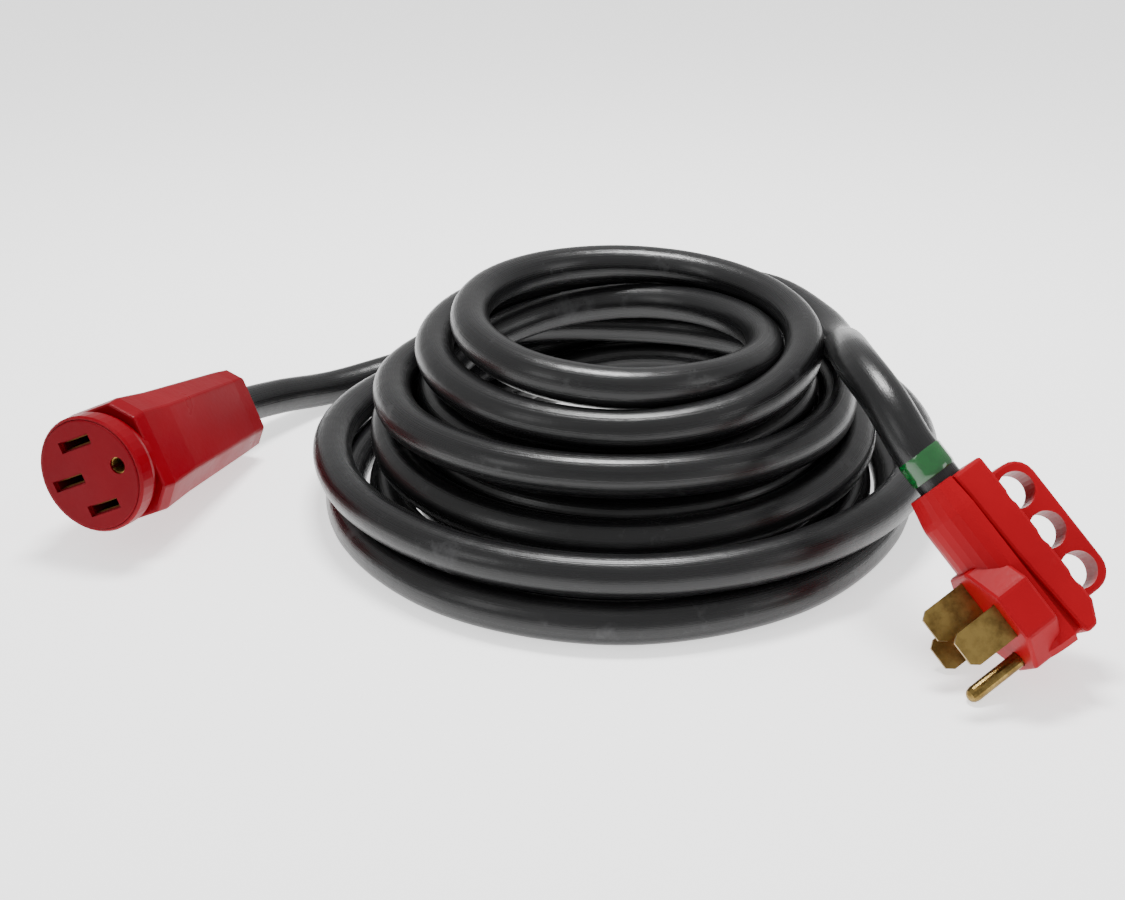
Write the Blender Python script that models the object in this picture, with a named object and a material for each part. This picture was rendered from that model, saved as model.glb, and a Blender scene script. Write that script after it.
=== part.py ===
"""Shore power cord set: a coiled four-core cable, a right-angle plug with a
three-hole handle on one end and a straight connector on the other.

Metres, +Z up, the floor at Z = 0. The origin lies on the floor, under the
middle of the box around the plug and the connector.
"""
import math

import bmesh
import bpy
from mathutils import Matrix, Vector

MM = 0.001
GAP = 0.3 * MM                       # clearance between pieces that touch

# Cable
CORD_D = 22.5 * MM                   # outside diameter of the jacket
CORD_R = CORD_D / 2
CORD_BORE_R = CORD_R + GAP           # hole that a jacket passes through
CORE_R = 2.8 * MM                    # insulated conductor
CRIMP_R = 3.9 * MM                   # crimp barrel, outside and bore
CRIMP_BORE_R = 3.2 * MM
CRIMP_LENGTH = 12 * MM
LABEL_START = 4.5 * MM               # from the plug's neck
LABEL_LENGTH = 13 * MM

# Coil: where its middle stands, and the turned rings that hold its turns
COIL_CENTRE = Vector((45.8 * MM, 94.5 * MM, 0))
RING_STEPS = 72
RINGS = {
    # name: (inner radius, outer radius, bottom, top), in millimetres
    "cord_coil_lower": (100, 189, 0, 45),
    "cord_coil_middle": (97, 150, 45.3, 71.7),
    "cord_coil_upper": (78, 111, 72, 116),
}

# Contact layout, shared by the plug and the connector, from the face's middle
HOT_OFFSET = 18.8 * MM               # both hot contacts, to either side
NEUTRAL_OFFSET = 15.0 * MM
GROUND_OFFSET = 20.5 * MM
BLADE_WIDTH = 17.5 * MM
BLADE_THICK = 1.9 * MM
BLADE_LENGTH = 26.0 * MM
PIN_R = 3.95 * MM
PIN_LENGTH = 31.5 * MM

# Plug, in its own axes: +X out of the mating face, +Z towards the cable,
# +Y to the side, the origin in the middle of the mating face
PLUG_FACE_R = 27.5 * MM
PLUG_BLOCK_DEPTH = 18.5 * MM
PLUG_NECK_Z = 68 * MM                # where the cable enters
PLUG_BACK_X = -22.85 * MM            # where the front moulding ends
PLUG_AXIS_X = -23 * MM               # cable axis
PLUG_HANDLE_X = -62 * MM             # outer edge of the handle
PLUG_HANDLE_HALF = 7 * MM
PLUG_HANDLE_Z = (-17 * MM, 57 * MM)
FINGER_R = 9.3 * MM
FINGER_X = -48.6 * MM
FINGER_Z = (43.5 * MM, 19.7 * MM, -4.1 * MM)
CARRIER_X = (-13.4 * MM, -6.0 * MM)  # the disc that holds the blades
CARRIER_R = 25.6 * MM
POCKET_Z = (-24.2 * MM, 52 * MM)     # the hollow behind it
POCKET_HALF = 14.2 * MM
REAR_POCKET_Z = (-24 * MM, 52 * MM)
REAR_POCKET_HALF = 13.8 * MM
CABLE_STOP_Z = 50 * MM               # how far in the jacket's hole reaches
FOOT_X = (-15.9 * MM, -14.1 * MM)    # the bent feet of the hot blades
FOOT_HALF = 4.75 * MM
TIP_CUT = 2.8 * MM                   # the cut corners of a blade's tip

# Connector, in its own axes: +Z out of the mating face, +X towards the
# ground contact, the origin in the middle of the mating face
CONN_COLLAR_R = 33 * MM
CONN_FACE_R = 31 * MM
CONN_BLOCK_R = 27 * MM               # the contact block behind its front flange
FACE_FLANGE = 9 * MM
FACE_DEPTH = 32 * MM
TAIL_END = -38 * MM                  # how far back the contacts' tails reach
CONN_LENGTH = 140 * MM
CONN_GRIP_Z = -17 * MM               # where the grip starts, behind the collar
SLOT_LENGTH = 19.6 * MM
SLOT_WIDTH = 4.8 * MM
MOUTH_LENGTH = 21.2 * MM             # the wider mouth of each slot
MOUTH_WIDTH = 6.2 * MM
MOUTH_DEPTH = 2.2 * MM
GROUND_HOLE_R = 4.7 * MM
CONTACT_HALF = 2.9 * MM              # across both leaves of a blade contact
CONTACT_TOP = -4.6 * MM
CONTACT_FLOOR = -29.6 * MM
CONTACT_BACK = -31.4 * MM
CONN_CONTACTS = {
    # blade contact: (x, y) of its middle on the face
    "line_1": (0.0, HOT_OFFSET),
    "line_2": (0.0, -HOT_OFFSET),
    "neutral": (-NEUTRAL_OFFSET, 0.0),
}

# Where both ends lie: position of the face's middle, direction out of the
# face, and the direction of the local axis that fixes the roll
PLUG_AT = COIL_CENTRE + Vector((174.5, -206.0, 29.33)) * MM
PLUG_OUT = Vector((-0.80, -0.41, -0.43))
PLUG_CABLE = Vector((-0.585, 0.47, 0.66))
CONN_AT = COIL_CENTRE + Vector((-291.0, -93.0, 50.45)) * MM
CONN_OUT = Vector((-0.30, -0.94, 0.15))
CONN_GROUND = Vector((0.892, -0.20, 0.405))

RED = (0.55, 0.012, 0.022)
BLACK = (0.018, 0.018, 0.020)
GREEN = (0.02, 0.30, 0.07)
BRASS = (0.62, 0.47, 0.20)
FINISHES = {
    # colour, roughness, metallic
    "jacket": (BLACK, 0.4, 0.0),
    "label": (GREEN, 0.3, 0.0),
    "red": (RED, 0.42, 0.0),
    "nylon": ((0.62, 0.58, 0.48), 0.5, 0.0),
    "brass": (BRASS, 0.38, 1.0),
    "pin": (BRASS, 0.2, 1.0),
    "tinned": ((0.62, 0.56, 0.5), 0.35, 1.0),
    "line_1": (BLACK, 0.5, 0.0),
    "line_2": ((0.45, 0.02, 0.02), 0.5, 0.0),
    "neutral": ((0.7, 0.7, 0.68), 0.5, 0.0),
    "ground": (GREEN, 0.5, 0.0),
}


def clear_scene():
    for old in list(bpy.data.objects):
        bpy.data.objects.remove(old, do_unlink=True)


def material(name, colour, roughness, metallic):
    made = bpy.data.materials.new(name)
    made.use_nodes = True
    shader = made.node_tree.nodes["Principled BSDF"]
    shader.inputs["Base Color"].default_value = (*colour, 1.0)
    shader.inputs["Roughness"].default_value = roughness
    shader.inputs["Metallic"].default_value = metallic
    return made


def frame_matrix(at, x_axis=None, z_axis=None, towards=None):
    """A placement from one exact axis and a second one that is squared to it."""
    if x_axis is not None:
        x = x_axis.normalized()
        z = (towards - towards.dot(x) * x).normalized()
    else:
        z = z_axis.normalized()
        x = (towards - towards.dot(z) * z).normalized()
    y = z.cross(x)
    turned = Matrix((x, y, z)).transposed().to_4x4()
    return Matrix.Translation(at) @ turned


def add_empty(name, matrix):
    empty = bpy.data.objects.new(name, None)
    empty.matrix_world = matrix
    bpy.context.collection.objects.link(empty)
    return empty


def add_mesh(name, bm, finish=None, parent=None, smooth=True):
    bmesh.ops.recalc_face_normals(bm, faces=bm.faces)
    mesh = bpy.data.meshes.new(name)
    bm.to_mesh(mesh)
    bm.free()
    if smooth:
        mesh.shade_smooth()
        mesh.set_sharp_from_angle(angle=math.radians(35))
    made = bpy.data.objects.new(name, mesh)
    bpy.context.collection.objects.link(made)
    if finish:
        mesh.materials.append(material(name, *FINISHES[finish]))
    if parent:
        made.parent = parent
    return made


def loft(sections):
    """A closed solid through sections that all have the same number of points."""
    bm = bmesh.new()
    rings = [[bm.verts.new(p) for p in section] for section in sections]
    for low, high in zip(rings, rings[1:]):
        for i in range(len(low)):
            j = (i + 1) % len(low)
            bm.faces.new((low[i], low[j], high[j], high[i]))
    bm.faces.new(rings[0][::-1])
    bm.faces.new(rings[-1])
    return bm


def prism(outline, axis, start, end):
    """An outline, given in the two other axes in order, pushed along an axis."""
    def place(point, level):
        values = list(point)
        values.insert("xyz".index(axis), level)
        return Vector(values)
    return loft([[place(p, level) for p in outline] for level in (start, end)])


def box(x, y, z):
    return prism([(x[0], y[0]), (x[1], y[0]), (x[1], y[1]), (x[0], y[1])], "z", *z)


def circle(radius, steps, centre=(0, 0), start=0.0):
    turn = 2 * math.pi / steps
    return [
        (centre[0] + radius * math.cos(start + i * turn),
         centre[1] + radius * math.sin(start + i * turn))
        for i in range(steps)
    ]


def rounded_box(x, y, radius, steps=4):
    """A rectangle's outline with round corners."""
    corners = ((x[1], y[1], 0), (x[0], y[1], 90), (x[0], y[0], 180), (x[1], y[0], 270))
    outline = []
    for cx, cy, first in corners:
        mx = cx - math.copysign(radius, cx - sum(x) / 2)
        my = cy - math.copysign(radius, cy - sum(y) / 2)
        for i in range(steps + 1):
            angle = math.radians(first + 90 * i / steps)
            outline.append((mx + radius * math.cos(angle), my + radius * math.sin(angle)))
    return outline


def bevel(target, width, segments=2, angle=40):
    edge = target.modifiers.new("edges", "BEVEL")
    edge.width = width
    edge.segments = segments
    edge.limit_method = "ANGLE"
    edge.angle_limit = math.radians(angle)


def join(target, bm, operation, parent, width=0.0):
    """Adds a solid to the target, or cuts it out, with a hidden guide object."""
    guide = add_mesh(f"guide_{len(bpy.data.objects)}", bm, parent=parent, smooth=False)
    guide.hide_render = True
    guide.display_type = "WIRE"
    if width:
        bevel(guide, width)
    step = target.modifiers.new("join", "BOOLEAN")
    step.operation = operation
    step.object = guide
    return guide


def tube(name, points, radius, finish, parent=None, sides=2):
    """A round bar along points, with closed ends."""
    data = bpy.data.curves.new(name, "CURVE")
    data.dimensions = "3D"
    data.bevel_depth = radius
    data.bevel_resolution = sides
    data.render_resolution_u = 0
    data.use_fill_caps = True
    spline = data.splines.new("POLY")
    spline.points.add(len(points) - 1)
    for knot, point in zip(spline.points, points):
        knot.co = (*point, 1)
    data.materials.append(material(name, *FINISHES[finish]))
    made = bpy.data.objects.new(name, data)
    bpy.context.collection.objects.link(made)
    if parent:
        made.parent = parent
    return made


def smooth_curve(knots, per_span):
    """Points on a smooth curve through the knots."""
    ends = [2 * knots[0] - knots[1], *knots, 2 * knots[-1] - knots[-2]]
    points = []
    for a, b, c, d in zip(ends, ends[1:], ends[2:], ends[3:]):
        for i in range(per_span):
            t = i / per_span
            points.append(0.5 * (
                2 * b + (c - a) * t
                + (2 * a - 5 * b + 4 * c - d) * t ** 2
                + (3 * b - a - 3 * c + d) * t ** 3
            ))
    return points + [knots[-1]]


# ---------------------------------------------------------------- cable

def coil_ring(name):
    """One turned ring: the outer shape of a few turns lying on each other."""
    inner, outer, low, high = (value * MM for value in RINGS[name])
    edge = CORD_R * 0.5
    profile = [
        (inner, high - edge), (inner, low + edge), (inner + edge, low), (outer - edge, low),
        (outer, low + edge), (outer, high - edge), (outer - edge, high), (inner + edge, high),
    ]
    bm = bmesh.new()
    rings = []
    for i in range(RING_STEPS):
        angle = 2 * math.pi * i / RING_STEPS
        way = Vector((math.cos(angle), math.sin(angle), 0))
        rings.append([bm.verts.new(COIL_CENTRE + way * r + Vector((0, 0, z))) for r, z in profile])
    for i, ring in enumerate(rings):
        after = rings[(i + 1) % RING_STEPS]
        for j in range(len(profile)):
            k = (j + 1) % len(profile)
            bm.faces.new((ring[j], ring[k], after[k], after[j]))
    return add_mesh(name, bm, "jacket")


def plug_tail_route(plug):
    """From inside the plug's neck, over the right of the coil, to its back."""
    straight = [
        plug @ Vector((PLUG_AXIS_X, 0, PLUG_NECK_Z + step * MM)) for step in (-12, 0, 12, 23)
    ]
    lying = [
        (128.7, -133.6, 113.2), (119.8, -99.4, 118.7), (122.7, -46.0, 106.0), (127.0, 0.0, 89.5),
        (122.5, 50.0, 84.5), (98.5, 103.0, 84.5),
    ]
    return straight + [COIL_CENTRE + Vector(p) * MM for p in lying]


def connector_tail_route(connector):
    """From inside the connector's rear, down to the floor and to the coil's back."""
    straight = [
        connector @ Vector((0, 0, -CONN_LENGTH + step * MM)) for step in (12, 0, -12)
    ]
    lying = [(-228.0, 80.0, 21.0), (-200.0, 115.0, 12.5), (-165.0, 146.0, 14.0), (-120.0, 170.0, 22.0)]
    return straight + [COIL_CENTRE + Vector(p) * MM for p in lying]


def label_band(route):
    """The wrapped label: a thin sleeve on the cable, just above the plug."""
    neck, along = route[1], route[2]
    way = (along - neck).normalized()
    base = neck + way * LABEL_START
    side = way.orthogonal().normalized()
    up = way.cross(side)
    outer, inner = CORD_R + 1.3 * MM, CORD_BORE_R + 0.4 * MM
    steps = 40
    bm = bmesh.new()
    rings = []
    for radius, level in ((outer, 0), (outer, LABEL_LENGTH), (inner, LABEL_LENGTH), (inner, 0)):
        rings.append([
            bm.verts.new(base + way * level + side * x + up * y)
            for x, y in circle(radius, steps)
        ])
    for low, high in zip(rings, rings[1:] + rings[:1]):
        for i in range(steps):
            j = (i + 1) % steps
            bm.faces.new((low[i], low[j], high[j], high[i]))
    return add_mesh("cord_label_band", bm, "label")


# ---------------------------------------------------------------- plug

def half_round(radius, back, z, steps=14):
    """The front half of a round bar, closed by a flat back."""
    points = []
    for i in range(steps + 1):
        angle = -math.pi / 2 + math.pi * i / steps
        points.append(Vector((back + radius * math.cos(angle), radius * math.sin(angle), z)))
    return points


def blade_slots(target, empty, start, end, room):
    """Cuts the passages of the three blades and the ground pin."""
    thick = BLADE_THICK / 2 + room
    half = BLADE_WIDTH / 2 + room
    for y, z in ((HOT_OFFSET, 0), (-HOT_OFFSET, 0), (0, NEUTRAL_OFFSET)):
        join(target, box((start, end), (y - thick, y + thick), (z - half, z + half)),
             "DIFFERENCE", empty)
    pin = circle(PIN_R + room, 20, (0, -GROUND_OFFSET))
    join(target, prism(pin, "x", start, end), "DIFFERENCE", empty)


def plug_front(empty):
    """The moulding with the mating face: an eight-sided block under a half-round barrel."""
    eighth = math.pi / 8
    block = circle(PLUG_FACE_R / math.cos(eighth), 8, start=eighth)
    body = add_mesh("plug_front_moulding", prism(block, "x", -PLUG_BLOCK_DEPTH, 0), "red", empty)
    bevel(body, 1.6 * MM)
    barrel = [
        half_round(radius * MM, PLUG_BACK_X, z * MM)
        for radius, z in ((17.5, -27.3), (20.6, -24), (20.6, 52), (20.2, 55), (17.4, PLUG_NECK_Z / MM))
    ]
    join(body, loft(barrel), "UNION", empty)
    pocket = rounded_box((-POCKET_HALF, POCKET_HALF), POCKET_Z, 3 * MM)
    join(body, prism(pocket, "x", -30 * MM, CARRIER_X[0] - GAP), "DIFFERENCE", empty)
    seat = circle(CARRIER_R + GAP, 32)
    join(body, prism(seat, "x", CARRIER_X[0] - GAP - 0.2 * MM, CARRIER_X[1] + GAP), "DIFFERENCE", empty)
    feet = box((FOOT_X[0] - GAP, FOOT_X[1] + 1 * MM), (-20.2 * MM, 20.2 * MM),
               (-FOOT_HALF - GAP, FOOT_HALF + GAP))
    join(body, feet, "DIFFERENCE", empty)
    bore = circle(CORD_BORE_R, 32, (PLUG_AXIS_X, 0))
    join(body, prism(bore, "z", CABLE_STOP_Z, PLUG_NECK_Z + 5 * MM), "DIFFERENCE", empty)
    blade_slots(body, empty, CARRIER_X[1] - 1 * MM, 5 * MM, GAP)
    return body


def plug_rear(empty):
    """The moulding with the spine and the flat handle with its three finger holes."""
    spine = [
        (-23.4 * MM, PLUG_NECK_Z - 0.6 * MM), (-40.5 * MM, PLUG_NECK_Z - 0.6 * MM),
        (-41 * MM, -17 * MM), (-35.5 * MM, -27.5 * MM), (-29 * MM, -28 * MM), (-27.6 * MM, -22 * MM),
        (-24.6 * MM, 20 * MM),
    ]
    body = add_mesh("plug_rear_handle", prism(spine, "y", -18 * MM, 18 * MM), "red", empty)
    bevel(body, 1.8 * MM)
    core = rounded_box((-POCKET_HALF - 1.3 * MM, POCKET_HALF + 1.3 * MM), (-26 * MM, 60 * MM), 3 * MM)
    join(body, prism(core, "x", PLUG_BACK_X - GAP, -32 * MM), "UNION", empty)
    plate = rounded_box((PLUG_HANDLE_X, -34 * MM), PLUG_HANDLE_Z, 11 * MM, 5)
    join(body, prism(plate, "y", -PLUG_HANDLE_HALF, PLUG_HANDLE_HALF), "UNION", empty, 1.4 * MM)
    pocket = rounded_box((-REAR_POCKET_HALF, REAR_POCKET_HALF), REAR_POCKET_Z, 2 * MM)
    join(body, prism(pocket, "x", -34.5 * MM, PLUG_BACK_X + 1 * MM), "DIFFERENCE", empty)
    bore = circle(CORD_BORE_R, 32, (PLUG_AXIS_X, 0))
    join(body, prism(bore, "z", CABLE_STOP_Z, PLUG_NECK_Z + 5 * MM), "DIFFERENCE", empty)
    for z in FINGER_Z:
        hole = circle(FINGER_R, 28, (FINGER_X, z))
        join(body, prism(hole, "y", -20 * MM, 20 * MM), "DIFFERENCE", empty)
    return body


def plug_carrier(empty):
    """The hard disc inside the front moulding that keeps the blades in their places."""
    body = add_mesh("plug_blade_carrier", prism(circle(CARRIER_R, 32), "x", *CARRIER_X), "nylon", empty)
    blade_slots(body, empty, CARRIER_X[0] - 2 * MM, CARRIER_X[1] + 2 * MM, GAP)
    return body


def hot_blade(name, side, empty):
    """A flat blade whose inner end is bent to a foot, towards the conductors."""
    inner = side * (HOT_OFFSET - BLADE_THICK / 2)
    outer = side * (HOT_OFFSET + BLADE_THICK / 2)
    toe = side * 6.5 * MM
    back, front = FOOT_X
    foot = [(back, toe), (back, outer), (-12 * MM, outer), (-12 * MM, inner), (front, inner), (front, toe)]
    blade = add_mesh(name, prism(foot, "z", -FOOT_HALF, FOOT_HALF), "brass", empty, smooth=False)
    join(blade, blade_tongue((inner, outer), 0, -12.5 * MM), "UNION", empty)
    return blade


def blade_tongue(across, middle, start):
    """The part of a blade that shows: a flat bar with both corners of its tip cut."""
    half = BLADE_WIDTH / 2
    tip = BLADE_LENGTH
    shoulder = tip - TIP_CUT * 1.3
    outline = [
        (start, middle - half), (shoulder, middle - half), (tip, middle - half + TIP_CUT),
        (tip, middle + half - TIP_CUT), (shoulder, middle + half), (start, middle + half),
    ]
    return prism(outline, "y", *across)


def neutral_blade(empty):
    half = BLADE_THICK / 2
    return add_mesh("plug_blade_neutral", blade_tongue((-half, half), NEUTRAL_OFFSET, -16.6 * MM),
                    "brass", empty, smooth=False)


def ground_pin(empty):
    """A round pin with a dome end and a thinner tail."""
    stations = [(-19.8, 2.4), (-14.0, 2.4), (-13.6, 3.95), (27.6, 3.95), (29.6, 3.45),
                (30.9, 2.3), (31.5, 0.9)]
    sections = [
        [Vector((x * MM, y, z)) for y, z in circle(radius * MM, 20, (0, -GROUND_OFFSET))]
        for x, radius in stations
    ]
    return add_mesh("plug_ground_pin", loft(sections), "pin", empty)


def crimp(name, x, y, z, empty):
    """A crimp barrel: a short open tube around its conductor."""
    steps = 16
    outer, inner = circle(CRIMP_R, steps), circle(CRIMP_BORE_R, steps)
    bm = bmesh.new()
    rings = []
    for outline, level in ((outer, 0), (outer, CRIMP_LENGTH), (inner, CRIMP_LENGTH), (inner, 0)):
        rings.append([bm.verts.new((x + a, y + b, z + level)) for a, b in outline])
    for low, high in zip(rings, rings[1:] + rings[:1]):
        for i in range(steps):
            j = (i + 1) % steps
            bm.faces.new((low[i], low[j], high[j], high[i]))
    return add_mesh(name, bm, "tinned", empty)


def plug_parts(empty):
    plug_front(empty)
    plug_rear(empty)
    plug_carrier(empty)
    hot_blade("plug_blade_line_1", 1, empty)
    hot_blade("plug_blade_line_2", -1, empty)
    neutral_blade(empty)
    ground_pin(empty)
    places = {
        # conductor: (crimp middle x, y, crimp's lower end z, where the core leaves the cable)
        "line_1": (-20.3, 9.4, -6.0, (-23.0, 5.4)),
        "line_2": (-20.3, -9.4, -6.0, (-23.0, -5.4)),
        "neutral": (-21.0, 0.0, 9.0, (-18.3, 0.0)),
        "ground": (-24.3, 0.0, -22.5, (-28.6, 0.0)),
    }
    for key, (x, y, low, leave) in places.items():
        crimp(f"plug_crimp_{key}", x * MM, y * MM, low * MM, empty)
        bend = (x, y, low + 22) if key != "ground" else (-29.5, 0.0, low + 34)
        knots = [
            (leave[0], leave[1], 55.4), (leave[0], leave[1], 50.0), bend,
            (x, y, low + 15), (x, y, low + 1),
        ]
        route = smooth_curve([Vector(k) * MM for k in knots], 3)
        tube(f"plug_core_{key}", route, CORE_R, key, empty)


# ---------------------------------------------------------------- connector

def grip_section(z, half_x, half_y, corner):
    """An eight-sided section: a rectangle with cut corners."""
    points = [
        (half_x, -half_y + corner), (half_x, half_y - corner), (half_x - corner, half_y),
        (-half_x + corner, half_y), (-half_x, half_y - corner), (-half_x, -half_y + corner),
        (-half_x + corner, -half_y), (half_x - corner, -half_y),
    ]
    return [Vector((x * MM, y * MM, z)) for x, y in points]


def connector_body(empty):
    """The grip moulding: a collar, a groove behind it, and an eight-sided tapering grip."""
    collar = [
        [Vector((x, y, z * MM)) for x, y in circle(CONN_COLLAR_R + step * MM, 48)]
        for step, z in ((-3.0, -19.5), (-3.0, -15.0), (-0.8, -13.0), (0, -10.5), (0, -2.0), (-0.9, -0.8))
    ]
    body = add_mesh("connector_grip_moulding", loft(collar), "red", empty)
    grip = [
        grip_section(-CONN_LENGTH, 15.5, 22.5, 8), grip_section(-CONN_LENGTH + 3 * MM, 18, 25.5, 8.5),
        grip_section(-CONN_LENGTH + 14 * MM, 18.5, 26.5, 9), grip_section(-50 * MM, 27.5, 31, 11.5),
        grip_section(CONN_GRIP_Z - 9 * MM, 29.5, 33.5, 12), grip_section(CONN_GRIP_Z, 29.2, 32.5, 12),
    ]
    join(body, loft(grip), "UNION", empty, 1.2 * MM)
    for radius, depth in ((CONN_FACE_R, -FACE_FLANGE), (CONN_BLOCK_R, -FACE_DEPTH - 6 * MM)):
        seat = circle(radius + GAP, 40)
        join(body, prism(seat, "z", depth - GAP, 5 * MM), "DIFFERENCE", empty)
    throat = [
        [Vector((x * wide, y * high, z * MM)) for x, y in circle(1 * MM, 32)]
        for wide, high, z in ((10.8, 10.8, -121), (14, 14, -96), (20, 21, -66), (22, 23, -37))
    ]
    join(body, loft(throat), "DIFFERENCE", empty)
    bore = circle(CORD_BORE_R, 32)
    join(body, prism(bore, "z", -CONN_LENGTH - 5 * MM, -120 * MM), "DIFFERENCE", empty)
    return body


def contact_pocket(x, y, start, end):
    half_x = SLOT_LENGTH / 2 + 1.0 * MM
    half_y = CONTACT_HALF + GAP
    return box((x - half_x, x + half_x), (y - half_y, y + half_y), (start, end))


def connector_face(empty):
    """The round contact block with three blade slots and a ground hole."""
    body = add_mesh("connector_contact_block", prism(circle(CONN_FACE_R, 48), "z", -FACE_FLANGE, 0),
                    "red", empty)
    bevel(body, 0.7 * MM)
    block = circle(CONN_BLOCK_R, 48)
    join(body, prism(block, "z", -FACE_DEPTH, -FACE_FLANGE + 1 * MM), "UNION", empty)
    for x, y in CONN_CONTACTS.values():
        cuts = ((SLOT_LENGTH, SLOT_WIDTH, 8 * MM), (MOUTH_LENGTH, MOUTH_WIDTH, MOUTH_DEPTH))
        for long, wide, depth in cuts:
            slot = box((x - long / 2, x + long / 2), (y - wide / 2, y + wide / 2), (-depth, 5 * MM))
            join(body, slot, "DIFFERENCE", empty)
        join(body, contact_pocket(x, y, -FACE_DEPTH - 2 * MM, -4 * MM), "DIFFERENCE", empty)
    hole = circle(GROUND_HOLE_R, 24, (GROUND_OFFSET, 0))
    join(body, prism(hole, "z", -8 * MM, 5 * MM), "DIFFERENCE", empty)
    pocket = circle(GROUND_HOLE_R + 0.7 * MM, 24, (GROUND_OFFSET, 0))
    join(body, prism(pocket, "z", -FACE_DEPTH - 2 * MM, -1.1 * MM), "DIFFERENCE", empty)
    return body


def blade_contact(name, x, y, empty):
    """A female contact: two leaves joined by a floor, with a tail through the back plate."""
    half_x = SLOT_LENGTH / 2 + 0.6 * MM
    outer, inner = CONTACT_HALF, 1.35 * MM
    mouth, lip = inner + 0.5 * MM, CONTACT_TOP - 8 * MM
    section = [
        (y - outer, CONTACT_BACK), (y + outer, CONTACT_BACK), (y + outer, CONTACT_TOP),
        (y + mouth, CONTACT_TOP), (y + inner, lip), (y + inner, CONTACT_FLOOR),
        (y - inner, CONTACT_FLOOR), (y - inner, lip), (y - mouth, CONTACT_TOP),
        (y - outer, CONTACT_TOP),
    ]
    body = add_mesh(name, prism(section, "x", x - half_x, x + half_x), "brass", empty, smooth=False)
    tail = box((x - 3 * MM, x + 3 * MM), (y - 1.6 * MM, y + 1.6 * MM), (TAIL_END, CONTACT_BACK + 0.4 * MM))
    join(body, tail, "UNION", empty)
    return body


def ground_contact(empty):
    """The ground sleeve: a split round tube with a tail."""
    outer, inner = GROUND_HOLE_R + 0.4 * MM, PIN_R + 0.15 * MM
    body = add_mesh(
        "connector_contact_ground",
        prism(circle(outer, 24, (GROUND_OFFSET, 0)), "z", CONTACT_BACK, -1.5 * MM), "brass", empty)
    join(body, prism(circle(inner, 24, (GROUND_OFFSET, 0)), "z", -29 * MM, 2 * MM), "DIFFERENCE", empty)
    slit = box((GROUND_OFFSET - 8 * MM, GROUND_OFFSET + 8 * MM), (-0.6 * MM, 0.6 * MM), (-24 * MM, 0))
    join(body, slit, "DIFFERENCE", empty)
    x = GROUND_OFFSET
    tail = box((x - 1.6 * MM, x + 1.6 * MM), (-3 * MM, 3 * MM), (TAIL_END, -31 * MM))
    join(body, tail, "UNION", empty)
    return body


def connector_back_plate(empty):
    """The plate behind the contact block that keeps the contacts in."""
    low, high = -FACE_DEPTH - 5.3 * MM, -FACE_DEPTH - GAP
    body = add_mesh("connector_back_plate", prism(circle(CONN_BLOCK_R, 40), "z", low, high),
                    "nylon", empty)
    for x, y in CONN_CONTACTS.values():
        hole = box((x - 3.4 * MM, x + 3.4 * MM), (y - 2.0 * MM, y + 2.0 * MM), (low - 1 * MM, high + 1 * MM))
        join(body, hole, "DIFFERENCE", empty)
    x = GROUND_OFFSET
    hole = box((x - 2.0 * MM, x + 2.0 * MM), (-3.4 * MM, 3.4 * MM), (low - 1 * MM, high + 1 * MM))
    join(body, hole, "DIFFERENCE", empty)
    return body


def connector_parts(empty):
    connector_body(empty)
    connector_face(empty)
    connector_back_plate(empty)
    for key, (x, y) in CONN_CONTACTS.items():
        blade_contact(f"connector_contact_{key}", x, y, empty)
    ground_contact(empty)
    places = {
        # conductor: (x, y) of its crimp, and where the core leaves the cable
        "line_1": (0.0, 15.0, 0.0, 5.2),
        "line_2": (0.0, -15.0, 0.0, -5.2),
        "neutral": (-12.0, 0.0, -5.0, 0.0),
        "ground": (16.4, 0.0, 5.0, 0.0),
    }
    for key, (x, y, leave_x, leave_y) in places.items():
        crimp(f"connector_crimp_{key}", x * MM, y * MM, TAIL_END - GAP - CRIMP_LENGTH, empty)
        knots = [
            (x, y, -40), (x, y, -52), (x, y, -60), (leave_x * 1.6, leave_y * 1.6, -88),
            (leave_x, leave_y, -115), (leave_x, leave_y, -126.5),
        ]
        route = smooth_curve([Vector(k) * MM for k in knots], 3)
        tube(f"connector_core_{key}", route, CORE_R, key, empty)


def main():
    clear_scene()
    plug = frame_matrix(PLUG_AT, x_axis=PLUG_OUT, towards=PLUG_CABLE)
    connector = frame_matrix(CONN_AT, z_axis=CONN_OUT, towards=CONN_GROUND)
    for name in RINGS:
        coil_ring(name)
    plug_route = plug_tail_route(plug)
    connector_route = connector_tail_route(connector)
    tube("cord_plug_tail", smooth_curve(plug_route, 3), CORD_R, "jacket", sides=3)
    tube("cord_connector_tail", smooth_curve(connector_route, 3), CORD_R, "jacket", sides=3)
    label_band(plug_route)
    plug_parts(add_empty("plug_frame", plug))
    connector_parts(add_empty("connector_frame", connector))


main()
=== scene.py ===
"""Looks of the shore power cord set: camera, light, the coiled cable and all finishes."""
import math

import bmesh
import bpy
import numpy as np
from mathutils import Matrix, Vector


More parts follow.
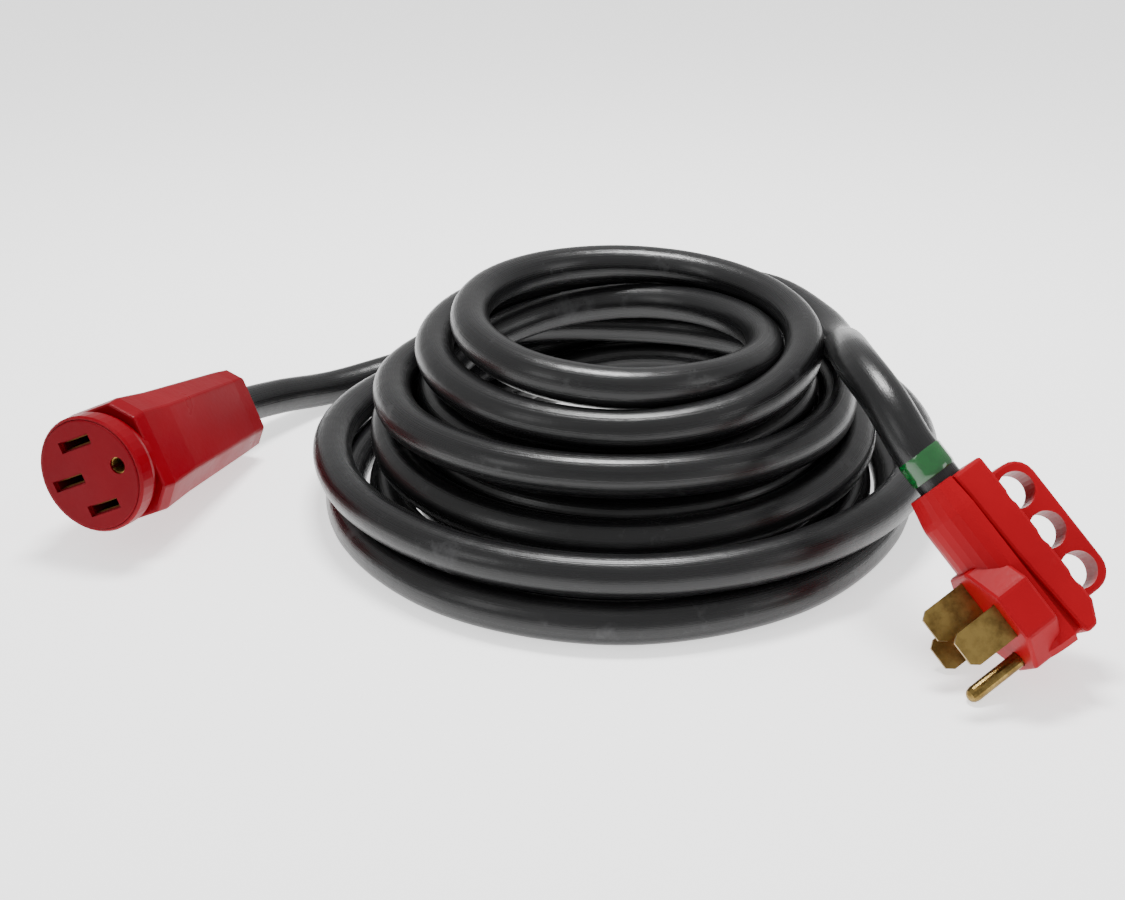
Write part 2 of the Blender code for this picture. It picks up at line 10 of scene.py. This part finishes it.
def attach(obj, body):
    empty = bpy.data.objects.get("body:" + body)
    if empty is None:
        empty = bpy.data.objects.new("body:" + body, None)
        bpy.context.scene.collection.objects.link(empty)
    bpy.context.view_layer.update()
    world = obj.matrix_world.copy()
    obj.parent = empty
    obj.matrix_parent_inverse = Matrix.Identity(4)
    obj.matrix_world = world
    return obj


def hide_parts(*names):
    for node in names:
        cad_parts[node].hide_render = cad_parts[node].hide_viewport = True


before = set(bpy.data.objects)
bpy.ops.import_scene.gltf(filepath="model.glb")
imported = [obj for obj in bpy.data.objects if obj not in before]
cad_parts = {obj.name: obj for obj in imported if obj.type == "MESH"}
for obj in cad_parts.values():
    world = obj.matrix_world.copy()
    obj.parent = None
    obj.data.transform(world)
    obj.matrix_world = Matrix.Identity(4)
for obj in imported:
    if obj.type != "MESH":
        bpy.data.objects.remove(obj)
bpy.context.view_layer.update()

MM = 0.001
CORD_D = 22.5 * MM
CORD_R = CORD_D / 2
COIL_CENTRE = Vector((45.8, 94.5, 0)) * MM
PLUG_NECK_Z = 68 * MM
PLUG_AXIS_X = -23 * MM
CONN_LENGTH = 140 * MM
PLUG_AT = COIL_CENTRE + Vector((174.5, -206.0, 29.33)) * MM
CONN_AT = COIL_CENTRE + Vector((-291.0, -93.0, 50.45)) * MM

CAMERA_DISTANCE = 839 * MM
CAMERA_RISE = math.radians(27.5)
CAMERA_SENSOR = 36
CAMERA_LENS = 43.2
CAMERA_SHIFT = (-0.0556, 0.0257)

FLOOR_HALF_WIDTH = 6
FLOOR_TONE = (0.93, 0.93, 0.93, 1)
FLOOR_ROUGHNESS = 0.75
FLOOR_GLOW = 1.15
SKY_STRENGTH = 0.72
WHITE = (1, 1, 1, 1)

# Each light: name, place, aim, size and power
LIGHTS = (
    ("overhead", (0.03, 0.30, 1.20), (0.04, 0.08, 0.05), (0.42, 0.22), 22),
    ("left", (-1.2, -0.9, 1.0), (-0.1, 0, 0.05), (0.4, 0.7), 3),
    ("right", (1.3, -0.5, 0.6), (0.2, 0, 0.05), (0.5, 0.6), 3),
)

KNOTS_PER_QUARTER = 3
POINTS_PER_KNOT = 10
ROUTE_STEP = 6 * MM
HELD_POINTS = 8                       # route points at either end that don't move
FREEING_POINTS = 12                   # the points after them, which move more and more
SETTLE_ROUNDS = 70
SMOOTHED_ROUNDS = 64
SETTLE_SHARE = 0.6                    # how much of a push is taken in one round
STRAND_SPACING = CORD_D * 1.004
SAME_STRAND = 4 * CORD_D              # points nearer than this along the cable don't push
FLOOR_GAP = 0.1 * MM

CABLE_SIDES = 28
CABLE_WOBBLE = 0.004                  # how much the jacket's radius varies, as a share of it

LABEL_SIDES = 64
LABEL_ROWS = 10
LABEL_START = 4.5 * MM
LABEL_LENGTH = 13 * MM
LABEL_INNER_GAP = 0.15 * MM
LABEL_THICKNESS = 0.65 * MM
LABEL_LAP = 0.35 * MM                 # the extra layer where the wrap ends overlap
LABEL_LAP_ANGLES = (0.2, 2.4)
LABEL_RIM_FROM = 0.86                 # where the rounded rims begin, from the middle outwards
LABEL_RIM_SHARE = 0.14
LABEL_SHARP_ANGLE = math.radians(40)


def frame_matrix(at, x_axis=None, z_axis=None, towards=None):
    """A placement from one exact axis and a second one that is squared to it."""
    if x_axis is not None:
        x = x_axis.normalized()
        z = (towards - towards.dot(x) * x).normalized()
    else:
        z = z_axis.normalized()
        x = (towards - towards.dot(z) * z).normalized()
    turned = Matrix((x, z.cross(x), z)).transposed().to_4x4()
    return Matrix.Translation(at) @ turned


PLUG = frame_matrix(PLUG_AT, x_axis=Vector((-0.80, -0.41, -0.43)), towards=Vector((-0.585, 0.47, 0.66)))
CONNECTOR = frame_matrix(CONN_AT, z_axis=Vector((-0.30, -0.94, 0.15)), towards=Vector((0.892, -0.20, 0.405)))


# ---------------------------------------------------------------- camera, floor and light

def add_camera():
    """Aims at the coil from in front and a little above it."""
    data = bpy.data.cameras.new("camera")
    data.sensor_width = CAMERA_SENSOR
    data.lens = CAMERA_LENS
    data.shift_x, data.shift_y = CAMERA_SHIFT
    camera = bpy.data.objects.new("camera", data)
    back = Vector((0, -math.cos(CAMERA_RISE), math.sin(CAMERA_RISE)))
    camera.location = COIL_CENTRE + back * CAMERA_DISTANCE
    camera.rotation_euler = (math.pi / 2 - CAMERA_RISE, 0, 0)
    bpy.context.collection.objects.link(camera)
    bpy.context.scene.camera = camera


def area_light(name, at, target, size, power):
    """A rectangular lamp that faces its target."""
    data = bpy.data.lights.new(name, "AREA")
    data.shape = "RECTANGLE"
    data.size, data.size_y = size
    data.energy = power
    light = bpy.data.objects.new(name, data)
    light.location = at
    light.rotation_euler = (Vector(target) - Vector(at)).to_track_quat("-Z", "Y").to_euler()
    bpy.context.collection.objects.link(light)


def add_studio():
    """A pale glowing floor, an even sky and three soft lights."""
    bm = bmesh.new()
    bmesh.ops.create_grid(bm, x_segments=2, y_segments=2, size=FLOOR_HALF_WIDTH)
    mesh = bpy.data.meshes.new("floor")
    bm.to_mesh(mesh)
    bm.free()
    floor = bpy.data.objects.new("floor", mesh)
    bpy.context.collection.objects.link(floor)
    white = bpy.data.materials.new("floor_white")
    white.use_nodes = True
    shader = white.node_tree.nodes["Principled BSDF"]
    shader.inputs["Base Color"].default_value = FLOOR_TONE
    shader.inputs["Roughness"].default_value = FLOOR_ROUGHNESS
    shader.inputs["Emission Color"].default_value = WHITE
    shader.inputs["Emission Strength"].default_value = FLOOR_GLOW
    mesh.materials.append(white)
    world = bpy.data.worlds.new("studio")
    world.use_nodes = True
    sky = world.node_tree.nodes["Background"]
    sky.inputs["Color"].default_value = WHITE
    sky.inputs["Strength"].default_value = SKY_STRENGTH
    bpy.context.scene.world = world
    for light in LIGHTS:
        area_light(*light)


# ---------------------------------------------------------------- cable route

# Four places on each turn, at the back, right, front and left, as (radius,
# height) in millimetres, from the connector's end; seen from above the turns
# run clockwise
TURNS = [
    (185, 33.6), (177, 33.6), (169.5, 33.2), (176, 33.6),
    (172, 11.3), (162, 11.3), (178, 11.3), (168, 11.3),
    (146, 11.3), (138, 11.3), (150, 11.3), (143, 11.3),
    (121, 11.3), (114, 11.3), (123, 11.3), (119, 12),
    (113, 36), (115, 38), (117.5, 40), (118, 42),
    (137, 41), (139, 43), (140, 37), (141, 44.6),
    (133.5, 64), (126.6, 61.4), (131, 69.5), (137, 69),
    (104, 62), (103, 70), (108, 63), (112, 67),
    (90, 84), (82, 92), (97, 102.8), (90, 111),
    (95.6, 108), (104.2, 98.4), (110, 86), (112, 92),
    (118.5, 90),
]


def smooth_curve(knots, per_span):
    """Points on a smooth curve through the knots."""
    ends = [2 * knots[0] - knots[1], *knots, 2 * knots[-1] - knots[-2]]
    points = []
    for a, b, c, d in zip(ends, ends[1:], ends[2:], ends[3:]):
        for i in range(per_span):
            t = i / per_span
            points.append(0.5 * (
                2 * b + (c - a) * t
                + (2 * a - 5 * b + 4 * c - d) * t ** 2
                + (3 * b - a - 3 * c + d) * t ** 3
            ))
    return points + [knots[-1]]


def coil_knots():
    """Points round the turns, in millimetres from the coil's centre."""
    levels = smooth_curve([Vector((r, z, 0)) for r, z in TURNS], KNOTS_PER_QUARTER)
    knots = []
    for i, level in enumerate(levels):
        angle = math.pi / 2 * (1 - i / KNOTS_PER_QUARTER)
        knots.append(Vector((level.x * math.cos(angle), level.x * math.sin(angle), level.y)))
    return knots


def resample(points, step):
    """The same line with points a fixed step apart."""
    points = np.array([tuple(p) for p in points])
    run = np.r_[0, np.cumsum(np.linalg.norm(np.diff(points, axis=0), axis=1))]
    at = np.linspace(0, run[-1], int(round(run[-1] / step)) + 1)
    return np.stack([np.interp(at, run, points[:, k]) for k in range(3)], axis=1)


def settle(points):
    """Moves strands that would run into each other a cable's width apart, and off the floor."""
    count = len(points)
    index = np.arange(count)
    near = abs(index[:, None] - index[None]) * ROUTE_STEP < SAME_STRAND
    from_end = np.minimum(index, count - 1 - index)
    free = np.clip((from_end - HELD_POINTS) / FREEING_POINTS, 0, 1)[:, None]
    moved = np.zeros_like(points)
    for turn in range(SETTLE_ROUNDS):
        now = points + moved
        gap = now[:, None] - now[None]
        far = np.linalg.norm(gap, axis=2)
        far[near] = 1.0
        close = far < STRAND_SPACING
        push = np.where(close, (STRAND_SPACING - far) / np.maximum(far, 1e-6), 0)[..., None] * gap
        moved += push.sum(axis=1) / np.maximum(close.sum(axis=1), 1)[:, None] * SETTLE_SHARE * free
        if turn < SMOOTHED_ROUNDS:
            flat = (moved[:-2] + 2 * moved[1:-1] + moved[2:]) / 4
            moved[1:-1] += (flat - moved[1:-1]) * free[1:-1]
        moved[:, 2] = np.maximum(moved[:, 2], CORD_R + FLOOR_GAP - points[:, 2])
    return points + moved


def cable_route():
    """The whole cable, from inside the connector's rear to inside the plug's neck."""
    start = [CONNECTOR @ Vector((0, 0, -CONN_LENGTH + step * MM)) for step in (12, 0, -12)]
    lying = [
        (-228.0, 80.0, 21.0), (-200.0, 115.0, 12.5), (-150.0, 150.0, 15.0), (-80.0, 172.0, 26.0),
    ]
    start += [COIL_CENTRE + Vector(p) * MM for p in lying]
    coil = [COIL_CENTRE + p * MM for p in coil_knots()]
    over = [
        (56.0, 125.0, 84.5), (98.5, 103.0, 84.5), (122.5, 50.0, 84.5), (127.0, 0.0, 89.5),
        (122.7, -46.0, 106.0), (119.8, -99.4, 118.7), (128.7, -133.6, 113.2),
    ]
    end = [COIL_CENTRE + Vector(p) * MM for p in over]
    end += [PLUG @ Vector((PLUG_AXIS_X, 0, PLUG_NECK_Z + step * MM)) for step in (23, 12, 0, -12)]
    return settle(resample(smooth_curve(start + coil + end, POINTS_PER_KNOT), ROUTE_STEP))


def cable_tube(points):
    """The jacket along points, with UVs: around it in u, metres along it in v."""
    points = [Vector(p) for p in points]
    bm = bmesh.new()
    layer = bm.loops.layers.uv.new("along")
    side = (points[1] - points[0]).normalized().orthogonal().normalized()
    rings, runs, run = [], [], 0.0
    for i, point in enumerate(points):
        ahead = points[min(i + 1, len(points) - 1)] - points[max(i - 1, 0)]
        turned = ahead.normalized()
        side = (side - side.dot(turned) * turned).normalized()
        up = turned.cross(side)
        if i:
            run += (point - points[i - 1]).length
        runs.append(run)
        wide = CORD_R * (1 + CABLE_WOBBLE * math.sin(run * 31.0) * math.sin(run * 7.3 + 1.0))
        rings.append([
            bm.verts.new(point + (side * math.cos(a) + up * math.sin(a)) * wide)
            for a in (2 * math.pi * k / CABLE_SIDES for k in range(CABLE_SIDES))
        ])
    for i in range(len(rings) - 1):
        for k in range(CABLE_SIDES):
            j = (k + 1) % CABLE_SIDES
            face = bm.faces.new((rings[i][k], rings[i][j], rings[i + 1][j], rings[i + 1][k]))
            places = ((k, i), (k + 1, i), (k + 1, i + 1), (k, i + 1))
            for loop, (u, v) in zip(face.loops, places):
                loop[layer].uv = (u / CABLE_SIDES, runs[v])
    bm.faces.new(rings[0][::-1])
    bm.faces.new(rings[-1])
    bmesh.ops.recalc_face_normals(bm, faces=bm.faces)
    mesh = bpy.data.meshes.new("cable")
    bm.to_mesh(mesh)
    bm.free()
    mesh.shade_smooth()
    cable = bpy.data.objects.new("cable", mesh)
    bpy.context.collection.objects.link(cable)
    return cable


# ---------------------------------------------------------------- finishes

MIX_COLOUR_A, MIX_COLOUR_B, MIX_COLOUR_OUT = 6, 7, 2    # a mix node's colour sockets
PLAIN_GRAIN = 300
PLAIN_SHADE = 0.8


class Finish:
    """A material with a few node helpers."""

    def __init__(self, name, metallic=0.0):
        self.material = bpy.data.materials.new(name)
        self.material.use_nodes = True
        self.nodes = self.material.node_tree.nodes
        self.links = self.material.node_tree.links
        self.shader = self.nodes["Principled BSDF"]
        self.shader.inputs["Metallic"].default_value = metallic
        self.height = None

    def coordinates(self, scale, uv=False):
        """Scaled object coordinates, or UVs."""
        if uv:
            source = self.nodes.new("ShaderNodeUVMap").outputs["UV"]
        else:
            source = self.nodes.new("ShaderNodeTexCoord").outputs["Object"]
        mapping = self.nodes.new("ShaderNodeMapping")
        mapping.inputs["Scale"].default_value = scale
        self.links.new(source, mapping.inputs["Vector"])
        return mapping.outputs["Vector"]

    def noise(self, scale, detail=4, stretch=(1, 1, 1), uv=False, roughness=0.55):
        """Noise from 0 to 1, about 0.5 on average."""
        made = self.nodes.new("ShaderNodeTexNoise")
        made.inputs["Scale"].default_value = scale
        made.inputs["Detail"].default_value = detail
        made.inputs["Roughness"].default_value = roughness
        self.links.new(self.coordinates(stretch, uv), made.inputs["Vector"])
        return made.outputs["Fac"]

    def spread(self, value, low, high, to_low, to_high):
        """Stretches low..high to to_low..to_high and clamps it."""
        made = self.nodes.new("ShaderNodeMapRange")
        ends = {"From Min": low, "From Max": high, "To Min": to_low, "To Max": to_high}
        for key, number in ends.items():
            made.inputs[key].default_value = number
        self.links.new(value, made.inputs["Value"])
        return made.outputs["Result"]

    def combine(self, first, second, operation="ADD"):
        """One sum or product of a value with a value or a number."""
        made = self.nodes.new("ShaderNodeMath")
        made.operation = operation
        self.links.new(first, made.inputs[0])
        if isinstance(second, (int, float)):
            made.inputs[1].default_value = second
        else:
            self.links.new(second, made.inputs[1])
        return made.outputs["Value"]

    def mix(self, amount, first, second):
        """A colour between two colours."""
        made = self.nodes.new("ShaderNodeMix")
        made.data_type = "RGBA"
        self.links.new(amount, made.inputs["Factor"])
        for key, colour in ((MIX_COLOUR_A, first), (MIX_COLOUR_B, second)):
            if isinstance(colour, tuple):
                made.inputs[key].default_value = (*colour, 1)
            else:
                self.links.new(colour, made.inputs[key])
        return made.outputs[MIX_COLOUR_OUT]

    def colour(self, source):
        self.links.new(source, self.shader.inputs["Base Color"])

    def rough(self, source):
        self.links.new(source, self.shader.inputs["Roughness"])

    def bump(self, height, distance, strength=1.0):
        """Adds relief on top of any there already is."""
        made = self.nodes.new("ShaderNodeBump")
        made.inputs["Distance"].default_value = distance
        made.inputs["Strength"].default_value = strength
        self.links.new(height, made.inputs["Height"])
        if self.height is not None:
            self.links.new(self.height, made.inputs["Normal"])
        self.height = made.outputs["Normal"]
        self.links.new(self.height, self.shader.inputs["Normal"])


def jacket_finish():
    """Black satin PVC: fine grain, drawn lines along the cable, and pale scuffs."""
    made = Finish("jacket_black")
    scuffs = made.spread(made.noise(26, 6, roughness=0.7), 0.60, 0.72, 0, 1)
    dust = made.spread(made.noise(9, 3), 0.42, 0.75, 0, 1)
    base = made.mix(dust, (0.004, 0.004, 0.0043), (0.008, 0.008, 0.0085))
    made.colour(made.mix(made.combine(scuffs, 0.35, "MULTIPLY"), base, (0.085, 0.085, 0.088)))
    drawn = made.noise(1, 2, stretch=(90, 2.5, 1), uv=True)
    rough = made.spread(drawn, 0.3, 0.7, 0.24, 0.34)
    made.rough(made.combine(rough, made.combine(scuffs, 0.16, "MULTIPLY")))
    made.bump(drawn, 0.00012)
    made.bump(made.noise(950, 3), 0.00008)
    made.bump(made.noise(70, 2), 0.00035)
    made.shader.inputs["Specular IOR Level"].default_value = 0.42
    return made.material


def red_finish(name, grain, rough_low, rough_high, tone=(0.33, 0.003, 0.009)):
    """Red PVC moulding: soft shade changes, moulded grain and small scuffs."""
    made = Finish(name)
    cloud = made.spread(made.noise(14, 3), 0.35, 0.7, 0, 1)
    base = made.mix(cloud, tone, tuple(value * 0.82 for value in tone))
    marks = made.spread(made.noise(120, 6, stretch=(1, 1, 0.35), roughness=0.75), 0.63, 0.74, 0, 1)
    made.colour(made.mix(made.combine(marks, 0.15, "MULTIPLY"), base, (0.42, 0.02, 0.022)))
    rough = made.spread(made.noise(38, 4), 0.3, 0.7, rough_low, rough_high)
    made.rough(made.combine(rough, made.combine(marks, 0.2, "MULTIPLY")))
    made.bump(made.noise(grain, 3), 0.0001)
    made.bump(made.noise(22, 2), 0.0006, 0.6)
    made.shader.inputs["Specular IOR Level"].default_value = 0.09
    return made.material


def brass_finish(name, rough_low, rough_high, tone=(0.32, 0.22, 0.07)):
    """Stamped brass: drawn lines and tarnish clouds."""
    made = Finish(name, metallic=1.0)
    tarnish = made.spread(made.noise(90, 5, roughness=0.65), 0.42, 0.7, 0, 1)
    made.colour(made.mix(tarnish, tone, (0.12, 0.075, 0.022)))
    lines = made.noise(500, 3, stretch=(1, 0.12, 1))
    rough = made.spread(lines, 0.3, 0.7, rough_low, rough_high)
    made.rough(made.combine(rough, made.combine(tarnish, 0.14, "MULTIPLY")))
    made.bump(lines, 0.00005)
    return made.material


def plain_finish(name, tone, rough, metallic=0.0):
    """A small inner piece: soft shade changes and a fine grain."""
    made = Finish(name, metallic=metallic)
    cloud = made.spread(made.noise(60, 4), 0.35, 0.7, 0, 1)
    made.colour(made.mix(cloud, tone, tuple(value * PLAIN_SHADE for value in tone)))
    made.rough(made.spread(made.noise(PLAIN_GRAIN, 3), 0.3, 0.7, rough - 0.07, rough + 0.07))
    made.bump(made.noise(PLAIN_GRAIN, 3), 0.00006)
    return made.material


def label_finish():
    """Green film under a clear layer, with faint wrap creases and no print."""
    made = Finish("label_green")
    cloud = made.spread(made.noise(70, 3), 0.35, 0.7, 0, 1)
    made.colour(made.mix(cloud, (0.001, 0.085, 0.012), (0.001, 0.055, 0.009)))
    crease = made.noise(1, 3, stretch=(14, 130, 1), uv=True)
    made.rough(made.spread(crease, 0.3, 0.7, 0.14, 0.26))
    made.bump(crease, 0.00025)
    made.shader.inputs["Coat Weight"].default_value = 0.6
    made.shader.inputs["Coat Roughness"].default_value = 0.08
    return made.material


# ---------------------------------------------------------------- pieces

def add_cable(route):
    """The one jacketed cable that stands for all the cord's CAD solids."""
    cable = cable_tube(route)
    cable.data.materials.append(jacket_finish())
    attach(cable, "root")
    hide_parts("cord_coil_lower", "cord_coil_middle", "cord_coil_upper", "cord_plug_tail",
                "cord_connector_tail")
    return cable


def add_label():
    """The wrapped label, with its overlapping end and rounded rims."""
    base = PLUG @ Matrix.Translation((PLUG_AXIS_X, 0, PLUG_NECK_Z + LABEL_START))
    bm = bmesh.new()
    layer = bm.loops.layers.uv.new("along")
    lap_from, lap_to = LABEL_LAP_ANGLES
    rings = []
    for outside in (True, False):
        for row in range(LABEL_ROWS + 1):
            t = row / LABEL_ROWS if outside else 1 - row / LABEL_ROWS
            rim = 1 - 0.5 * max(0.0, abs(2 * t - 1) - LABEL_RIM_FROM) / LABEL_RIM_SHARE
            ring = []
            for k in range(LABEL_SIDES):
                angle = 2 * math.pi * k / LABEL_SIDES
                lap = LABEL_LAP if lap_from < angle < lap_to else 0.0
                radius = CORD_R + ((LABEL_THICKNESS + lap) * rim if outside else LABEL_INNER_GAP)
                place = Vector((radius * math.cos(angle), radius * math.sin(angle), t * LABEL_LENGTH))
                ring.append(bm.verts.new(base @ place))
            rings.append(ring)
    for i, ring in enumerate(rings):
        after = rings[(i + 1) % len(rings)]
        for k in range(LABEL_SIDES):
            j = (k + 1) % LABEL_SIDES
            face = bm.faces.new((ring[k], ring[j], after[j], after[k]))
            places = ((k, i), (k + 1, i), (k + 1, i + 1), (k, i + 1))
            for loop, (u, v) in zip(face.loops, places):
                loop[layer].uv = (u / LABEL_SIDES, v * LABEL_LENGTH / LABEL_ROWS)
    bmesh.ops.recalc_face_normals(bm, faces=bm.faces)
    mesh = bpy.data.meshes.new("label_band")
    bm.to_mesh(mesh)
    bm.free()
    mesh.shade_smooth()
    mesh.set_sharp_from_angle(angle=LABEL_SHARP_ANGLE)
    label = bpy.data.objects.new("label_band", mesh)
    bpy.context.collection.objects.link(label)
    mesh.materials.append(label_finish())
    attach(label, "root")
    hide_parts("cord_label_band")
    return label


def finish_cad_nodes():
    """Every node that the frame keeps showing gets its detailed material."""
    brass = brass_finish("brass_blades", 0.28, 0.42)
    kinds = {
        "plug_front_moulding": red_finish("red_plug", 260, 0.30, 0.42),
        "plug_rear_handle": red_finish("red_handle", 260, 0.30, 0.42),
        "connector_grip_moulding": red_finish("red_grip", 260, 0.26, 0.40, (0.20, 0.0008, 0.006)),
        "connector_contact_block": red_finish("red_block", 420, 0.50, 0.62, (0.16, 0.0006, 0.005)),
        "plug_ground_pin": brass_finish("brass_pin", 0.16, 0.26),
        "connector_contact_ground": brass_finish("brass_sleeve", 0.35, 0.5, (0.62, 0.42, 0.12)),
        "plug_blade_carrier": plain_finish("nylon_carrier", (0.62, 0.58, 0.48), 0.5),
        "connector_back_plate": plain_finish("nylon_plate", (0.60, 0.56, 0.47), 0.5),
    }
    crimps = plain_finish("tinned_crimp", (0.62, 0.56, 0.50), 0.35, metallic=1.0)
    cores = {
        "line_1": plain_finish("core_black", (0.02, 0.02, 0.02), 0.5),
        "line_2": plain_finish("core_red", (0.45, 0.02, 0.02), 0.5),
        "neutral": plain_finish("core_white", (0.70, 0.70, 0.68), 0.5),
        "ground": plain_finish("core_green", (0.02, 0.30, 0.07), 0.5),
    }
    # Brass for the contacts in the connector's slots, with a much darker tone: painted shade of the slot
    # recesses
    painted_shade_leaves = brass_finish("brass_leaves", 0.4, 0.55, (0.10, 0.045, 0.012))
    for key in ("line_1", "line_2", "neutral"):
        kinds["connector_contact_" + key] = painted_shade_leaves
    for name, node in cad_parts.items():
        if name.startswith("cord_"):
            continue
        if "_crimp_" in name:
            kinds[name] = crimps
        elif "_core_" in name:
            kinds[name] = cores[name.split("_core_")[1]]
        for item in node.material_slots:
            item.material = kinds.get(name, brass)


add_camera()
add_studio()
route = cable_route()
cable = add_cable(route)
label = add_label()
finish_cad_nodes()
